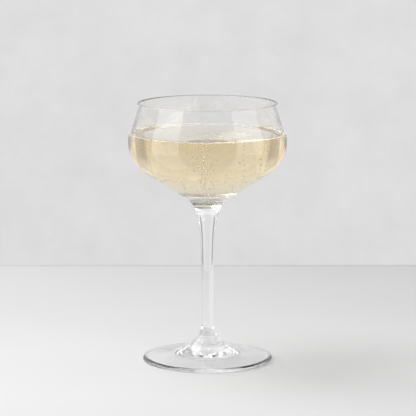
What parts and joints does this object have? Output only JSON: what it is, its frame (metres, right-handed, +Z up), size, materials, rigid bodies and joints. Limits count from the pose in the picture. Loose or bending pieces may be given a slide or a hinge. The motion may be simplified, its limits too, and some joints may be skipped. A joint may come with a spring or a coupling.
{
  "type": "glass of champagne",
  "caption": "Wide, shallow stemmed coupe on a round foot, with pale golden sparkling wine filling most of its bowl.",
  "frame": {"origin": "centre of the foot's underside, on the table", "axes": "+Z up the stem, the axis that the glass and the drink turn about"},
  "size_m": [0.098, 0.098, 0.161],
  "materials": {
    "clear_glass": "clear colourless polished glass",
    "sparkling_wine": "clear pale straw-gold liquid with fine bubbles"
  },
  "bodies": {
    "root": {"glass": "clear_glass", "champagne": "sparkling_wine"}
  },
  "joints": []
}
